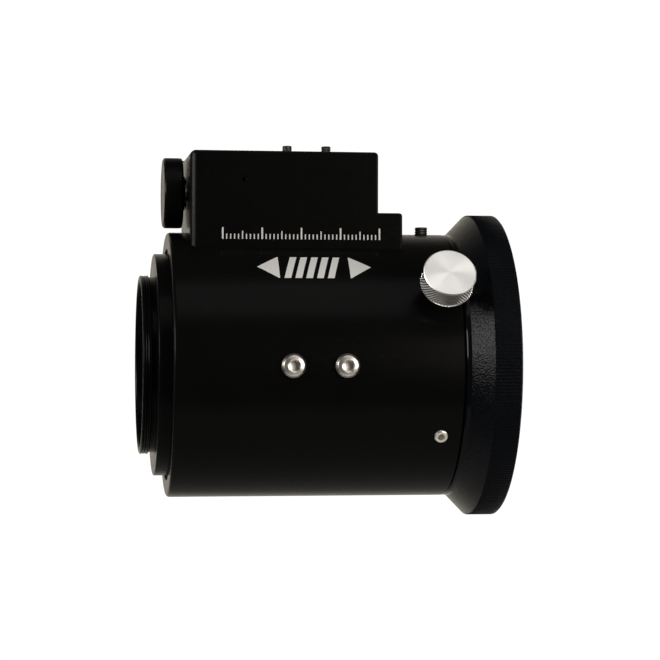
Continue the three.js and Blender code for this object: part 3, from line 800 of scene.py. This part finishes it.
def hexagon(z0, z1, across):
    """A cutter for a hexagon socket, with a shallow point at its bottom."""
    corner = across / math.sqrt(3)
    outline = [Vector((z0 - corner * 0.25, 0)), Vector((z0, corner)), Vector((z1, corner)), Vector((z1, 0))]
    return revolve("hexagon", outline, MATERIALS["stainless"], 6, axis="Z")


def cap_screw(name, tip, seat, thread, head, height, across, pitch, slot):
    """A low socket cap screw: bevelled head, hexagon socket with a lead-in, threaded shank."""
    top = seat + height
    outline = soften([
        (tip, 0, 0),
        (tip, thread - 0.35, 0),
        (tip + 0.35, thread, 0),
        (seat, thread, 0),
        (seat, head, 0.08),
        (seat + height * 0.4, head, 0.15),
        (top - height * 0.16, head * 0.84, 0.25),
        (top, across * 0.66, 0.06),
        (top - 0.25, across * 0.54, 0),
        (top - 0.25, 0, 0),
    ], 4)
    outline = densify(outline, pitch / 5, lambda z, radius: near(radius, thread) and z < seat)
    relief = threaded(pitch, pitch * 0.5, tip + 0.3, seat - 0.3, thread - 0.01, thread + 0.01)
    screw = revolve(name, outline, MATERIALS[slot], 72, relief, axis="Z", sharp=40)
    return cut(screw, hexagon(top - height * 0.72, top + 1, across), sharp=40)


def set_screw(name, point, end, thread, across, pitch, slot, cone=2.0):
    """A set screw with a cone point, a helical thread and a hexagon socket."""
    outline = soften([
        (point, 0, 0),
        (point, thread * 0.45, 0),
        (point + cone, thread, 0),
        (end - 0.25, thread, 0.08),
        (end, thread - 0.25, 0.06),
        (end, 0, 0),
    ], 3)
    slack = 0.02
    outline = densify(outline, pitch / 6, lambda z, radius: near(radius, thread, slack))
    thread_end = end + pitch * 0.3
    relief = threaded(pitch, pitch * 0.35, point + cone, thread_end, thread - slack, thread + slack)
    screw = revolve(name, outline, MATERIALS[slot], 64, relief, axis="Z", sharp=40)
    return cut(screw, hexagon(end - thread, end + 1, across), sharp=40)


def spun(angle):
    """A turn of a screw about its own axis, in radians."""
    return Matrix.Rotation(angle, 4, "Z")


def key_screws():
    seat = BODY_RADIUS + 0.05
    for node, x in KEY_SCREWS.items():
        screw = cap_screw(f"{node}_detail", 32, seat, M4, 3.5, 2.2, 2.9, M4_PITCH, "stainless")
        turned = at_angle(x, 0) @ spun(math.radians(12 if x < -60 else 31))
        place(screw, "focuser_body", "stainless", node, where=turned)


def flange_screws():
    for name, (x, angle, end, slot) in SET_SCREWS.items():
        screw = set_screw(f"flange_screw_{name}_detail", 33, end, M4, 2.0, M4_PITCH, slot)
        turned = at_angle(x, angle) @ spun(math.radians(x * 7))
        place(screw, "focuser_body", slot, f"flange_screw_{name}", where=turned)


def clamp_screws():
    for index, x in enumerate(CLAMP_SCREWS, 1):
        node = f"motor_clamp_screw_{index}"
        screw = set_screw(f"{node}_detail", 60.9, CLAMP_SCREW_TOP, M3, 1.5, M3_PITCH, "black_steel", 0.5)
        turned = at(x, 0, 0) @ spun(0.4 * index)
        place(screw, "focuser_body", "black_steel", node, where=turned)


def cover_screws():
    for node, (x, z) in COVER_SCREWS.items():
        screw = cap_screw(f"{node}_detail", 13.4, 18.15, 1.25, 2.2, 1.6, 1.6, 0.45, "black_steel")
        turned = at(x, 0, z) @ TO_REAR @ spun(x)
        place(screw, "focuser_body", "black_steel", node, where=turned)


# ------------------------------------------------------------------ knobs

def focus_knob():
    left, right, radius = KNOB_LOW.x, KNOB_RIGHT, KNOB_HIGH.y
    hub_radius, hub_right, shaft_hole, shaft_end = 5.2, -94.7, 2.8, -99.9
    outline = soften([
        (left + 0.6, 0, 0),
        (left + 0.1, radius - 0.9, 0.3),
        (left, radius - 0.55, 0.05),
        (left + 0.5, radius, 0.1),
        (right - 0.1, radius, 1.2),
        (right, radius - 1.3, 0.3),
        (right, hub_radius, 0.1),
        (hub_right, hub_radius, 0.1),
        (hub_right, shaft_hole, 0),
        (shaft_end, shaft_hole, 0),
        (shaft_end, 0, 0),
    ], 5)
    outline = densify(outline, 0.45, lambda x, r: near(r, radius, 0.02))

    def knurl(x, r, turn):
        """A fine straight knurl that stops short of both edges."""
        if not near(r, radius, 0.02) or not left + 0.9 < x < right - 1.5:
            return r
        return r - 0.07 * ramp(turn * KNOB_TEETH)

    knob = revolve("focus_knob_wheel", outline, MATERIALS["black_anodised"], KNOB_TEETH * 4, knurl)
    knob.matrix_world = at(0, 0, DRIVE_HEIGHT)
    where = at(KNOB_SCREW_X, 0, DRIVE_HEIGHT) @ TO_REAR
    cut(knob, hole(where, 3, radius + 0.8, 1.6, 0.1))
    place(knob, "focus_drive", "black_anodised", "focus_knob")
    screw = set_screw("knob_set_screw_detail", 2.9, 9.4, M3, 1.5, M3_PITCH, "black_steel", 0.5)
    place(screw, "focus_drive", "black_steel", "knob_set_screw", where=where)


def lock_knob():
    stem_hole = M4 + 0.08
    outline = soften([
        (LOCK_TOP - 2.6, 0, 0),
        (LOCK_TOP - 2.6, stem_hole, 0),
        (LOCK_BOTTOM - 2, stem_hole, 0.1),
        (LOCK_BOTTOM - 2, LOCK_NECK, 0.3),
        (LOCK_BOTTOM, LOCK_NECK, 0.2),
        (LOCK_BOTTOM, LOCK_HEAD - 0.25, 0.05),
        (LOCK_BOTTOM + 0.25, LOCK_HEAD, 0.05),
        (LOCK_TOP - 0.3, LOCK_HEAD, 0.05),
        (LOCK_TOP, LOCK_HEAD - 0.3, 0.08),
        (LOCK_TOP - 0.02, 0.8, 0),
        (LOCK_TOP - 0.06, 0, 0),
    ], 3)
    outline = densify(outline, 0.14, lambda z, radius: near(radius, LOCK_HEAD, 0.02))

    def diamonds(z, radius, turn):
        """Two crossed helical knurls that leave small lands between their grooves."""
        if not near(radius, LOCK_HEAD, 0.02) or not LOCK_BOTTOM + 0.3 < z < LOCK_TOP - 0.4:
            return radius
        one = ramp(turn * LOCK_TEETH + z / LOCK_LEAD)
        other = ramp(turn * LOCK_TEETH - z / LOCK_LEAD)
        return radius - 0.6 * max(0, 1.3 * max(one, other) - 0.3)

    material, steps = MATERIALS["turned_aluminium"], LOCK_TEETH * 8
    knob = revolve("lock_knob_head", outline, material, steps, diamonds, axis="Z", sharp=45)
    place(knob, "lock_screw", "turned_aluminium", "lock_knob", where=at_angle(LOCK_X, LOCK_ANGLE))


def lock_stem():
    tip, top = 36.9, 50
    outline = soften([(tip, 0, 0), (tip, M4 - 0.35, 0), (tip + 0.4, M4, 0), (top, M4, 0), (top, 0, 0)])
    outline = densify(outline, 0.12, lambda z, radius: near(radius, M4))
    relief = threaded(M4_PITCH, 0.35, tip + 0.3, LOCK_BOTTOM - 2.5, M4 - 0.01, M4 + 0.01)
    stem = revolve("lock_stem_thread", outline, MATERIALS["stainless"], 64, relief, axis="Z", sharp=40)
    place(stem, "lock_screw", "stainless", "lock_stem", where=at_angle(LOCK_X, LOCK_ANGLE))


# ------------------------------------------------------------------ data socket

def data_socket():
    """A metal shell open to the rear, with a tongue in it that carries five contacts."""
    low, high = node_box("data_socket")
    wall, pins, pin_pitch = 0.4, 5, 0.9
    every_edge = [(lambda middle: True, 1)]
    shell = prism("data_socket_shell", rectangle(low.x, low.z, high.x, high.z), low.y, high.y,
                  MATERIALS["stainless"], every_edge, 0.3, 3)
    mouth = block("mouth", (low.x + wall, high.y - 5, low.z + wall),
                  (high.x - wall, high.y + 2, high.z - wall))
    cut(shell, mouth)
    place(shell, "focuser_body", "stainless", "data_socket")
    x, z = SOCKET
    tongue_end = high.y - 1
    outline = rectangle(x - 2.6, z - 0.5, x + 2.6, z + 0.5)
    tongue = prism("data_socket_tongue", outline, high.y - 5.2, tongue_end,
                   MATERIALS["black_plastic"], [(edge_at(y=tongue_end), 1)], 0.2, 3)
    place(tongue, "focuser_body", "black_plastic")
    pin_end = high.y - 1.3
    for index in range(pins):
        pin_x = x - 1.8 + pin_pitch * index
        outline = rectangle(pin_x - 0.2, z + 0.45, pin_x + 0.2, z + 0.62)
        pin = prism(f"data_socket_pin_{index + 1}", outline, high.y - 5.1, pin_end,
                    MATERIALS["brass"], [(edge_at(y=pin_end), 1)], 0.05, 2)
        place(pin, "focuser_body", "brass")


# ------------------------------------------------------------------ printed marks

PRINT_LIFT = 0.03


def on_front(x, z, lift):
    """A point on the front of the motor housing."""
    return (x, HOUSING_LOW.y - lift, z)


def on_body(x, arc, lift):
    """A point on the near side of the body, `arc` millimetres up from the axis's height."""
    angle = arc / BODY_RADIUS
    radius = BODY_RADIUS + lift
    return (x, -radius * math.cos(angle), radius * math.sin(angle))


def printed(bm, corners, surface, parts=6):
    """A thin patch of ink between four corners (across, up), laid on a surface."""
    a, b, c, d = (Vector(corner) for corner in corners)
    layers = []
    for lift in (PRINT_LIFT, -PRINT_LIFT):
        rows = []
        for i in range(parts + 1):
            left, right = a.lerp(d, i / parts), b.lerp(c, i / parts)
            rows.append([bm.verts.new(surface(*left, lift)), bm.verts.new(surface(*right, lift))])
        layers.append(rows)
    top, bottom = layers
    for i in range(parts):
        bm.faces.new((top[i][0], top[i][1], top[i + 1][1], top[i + 1][0]))
        bm.faces.new((bottom[i][1], bottom[i][0], bottom[i + 1][0], bottom[i + 1][1]))
        for side in (0, 1):
            bm.faces.new((top[i][side], top[i + 1][side], bottom[i + 1][side], bottom[i][side]))
    for i in (0, parts):
        bm.faces.new((top[i][0], top[i][1], bottom[i][1], bottom[i][0]))


def scale_print():
    """A plain graduated line on the motor housing."""
    bm = bmesh.new()
    left, right, foot = -84.7, -37.9, 37.3
    count = 40
    for i in range(count + 1):
        x = left + (right - left) * i / count
        height = 3.4 if i % 10 == 0 else 2.4 if i % 5 == 0 else 1.5
        half = 0.24 if i % 10 == 0 else 0.17
        printed(bm, rectangle(x - half, foot, x + half, foot + height), on_front, 1)
    ink = finish_mesh(bm, "graduated_line_print", PRINT_WHITE)
    place(ink, "focuser_body", "black_anodised")


def focus_print():
    """Two arrowheads with slanted bars between them: turn to move in or out."""
    bm = bmesh.new()
    low, high, slant = 27.6, 36.7, 2.3
    middle = (low + high) / 2
    left, right = -75.3, -41.7
    head = 6.4
    for tip, base in ((left, left + head), (right, right - head)):
        for sign in (-1, 1):
            edge = middle + sign * (high - low) / 2
            corner = base - (base - tip) * 0.04
            printed(bm, [(tip, middle), (base, middle), (base, edge), (corner, edge)], on_body, 4)
    bars = 5
    start, end = left + head + 1.3, right - head - 1.3
    pitch = (end - start - slant) / bars
    for i in range(bars):
        x = start + pitch * i
        wide = pitch * 0.62
        printed(bm, [(x, low), (x + wide, low), (x + wide + slant, high), (x + slant, high)], on_body)
    ink = finish_mesh(bm, "focus_direction_print", PRINT_SILVER)
    place(ink, "focuser_body", "black_anodised")


# ------------------------------------------------------------------ carried-over CAD nodes

def paint_cad_nodes():
    """Gives every CAD node the material that its slot in the record names."""
    slots = {part["node"]: part["material_slot"] for part in frame["record"]["subparts"]}
    for node, obj in frame["nodes"].items():
        for material_slot in obj.material_slots:
            material_slot.material = MATERIALS[slots[node]]


# ------------------------------------------------------------------ camera, light and floor

def camera():
    """A level view from the near side, turned a little towards the camera end."""
    place_mm = Vector((-138.11, -636.74, 4.54))
    azimuth, elevation, roll = (math.radians(a) for a in (-7.882, -0.544, 0.086))
    back = Vector((math.sin(azimuth) * math.cos(elevation),
                   -math.cos(azimuth) * math.cos(elevation),
                   math.sin(elevation)))
    level_right = Vector((0, 0, 1)).cross(back).normalized()
    level_up = back.cross(level_right)
    right = math.cos(roll) * level_right + math.sin(roll) * level_up
    up = back.cross(right)
    data = bpy.data.cameras.new("camera")
    data.sensor_width = 36
    data.lens = 114.41
    data.clip_start = 0.01
    obj = bpy.data.objects.new("camera", data)
    bpy.context.scene.collection.objects.link(obj)
    turn = Matrix((right, up, back)).transposed().to_4x4()
    obj.matrix_world = Matrix.Translation(place_mm * MM) @ turn
    bpy.context.scene.camera = obj


def area_light(name, place_m, target_m, size, power, color=(1, 1, 1)):
    data = bpy.data.lights.new(name, "AREA")
    data.shape = "RECTANGLE"
    data.size, data.size_y = size
    data.energy = power
    data.color = color
    obj = bpy.data.objects.new(name, data)
    bpy.context.scene.collection.objects.link(obj)
    direction = Vector(target_m) - Vector(place_m)
    turn = direction.to_track_quat("-Z", "Y").to_matrix().to_4x4()
    obj.matrix_world = Matrix.Translation(place_m) @ turn
    obj.visible_camera = False


def lights():
    """A soft box above, a window on the left, and panels in front on the right and at the right end."""
    centre = (-0.05, 0, 0.01)
    area_light("soft_box", (0.10, -0.44, 0.76), centre, (0.7, 0.5), 1.4, (1, 0.99, 0.975))
    area_light("window", (-0.87, -0.14, 0.19), centre, (0.5, 0.24), 5.0, (1, 0.985, 0.96))
    area_light("reflector", (0.55, -0.74, 0.14), centre, (0.75, 0.5), 5.0, (1, 0.96, 0.89))
    area_light("end_light", (0.85, 0.36, -0.02), centre, (0.5, 0.4), 4.0, (1, 0.99, 0.98))


def world():
    """White to look at. For the object it is bright behind and dim in front, as in a light tent."""
    surroundings = bpy.data.worlds.new("surroundings")
    bpy.context.scene.world = surroundings
    surroundings.use_nodes = True
    nodes, links = surroundings.node_tree.nodes, surroundings.node_tree.links
    nodes.clear()
    output = nodes.new("ShaderNodeOutputWorld")
    mix = nodes.new("ShaderNodeMixShader")
    path = nodes.new("ShaderNodeLightPath")
    direction = nodes.new("ShaderNodeTexCoord")
    split = nodes.new("ShaderNodeSeparateXYZ")
    behind = nodes.new("ShaderNodeMapRange")
    behind.interpolation_type = "SMOOTHSTEP"
    behind.inputs["From Min"].default_value = 0.6
    behind.inputs["From Max"].default_value = 1.0
    behind.inputs["To Min"].default_value = 0.06
    behind.inputs["To Max"].default_value = 0.75
    tent = nodes.new("ShaderNodeBackground")
    tent.inputs["Color"].default_value = (1.0, 0.93, 0.79, 1)
    white = nodes.new("ShaderNodeBackground")
    white.inputs["Color"].default_value = (1, 1, 1, 1)
    white.inputs["Strength"].default_value = 1.05
    links.new(direction.outputs["Generated"], split.inputs["Vector"])
    links.new(split.outputs["Y"], behind.inputs["Value"])
    links.new(behind.outputs["Result"], tent.inputs["Strength"])
    links.new(path.outputs["Is Camera Ray"], mix.inputs["Fac"])
    links.new(tent.outputs["Background"], mix.inputs[1])
    links.new(white.outputs["Background"], mix.inputs[2])
    links.new(mix.outputs["Shader"], output.inputs["Surface"])


def floor():
    """A pale disc, low enough to stay out of the main view."""
    radius, thickness, height = 600.0, 8.0, -420.0
    outline = soften([
        (height - thickness, 0, 0), (height - thickness, radius, 2), (height, radius, 2), (height, 0, 0),
    ])
    disc = revolve("floor", outline, pale_floor(), 96, axis="Z")


# ------------------------------------------------------------------ build

camera()
paint_cad_nodes()
body_tube()
bush("camera_end_bush")
bush("telescope_end_bush")
drawtube()
camera_adapter()
telescope_flange()
motor_housing()
rear_cover()
key_screws()
flange_screws()
clamp_screws()
cover_screws()
focus_knob()
lock_knob()
lock_stem()
data_socket()
scale_print()
focus_print()
floor()
lights()
world()
bpy.context.scene.view_settings.view_transform = "Standard"
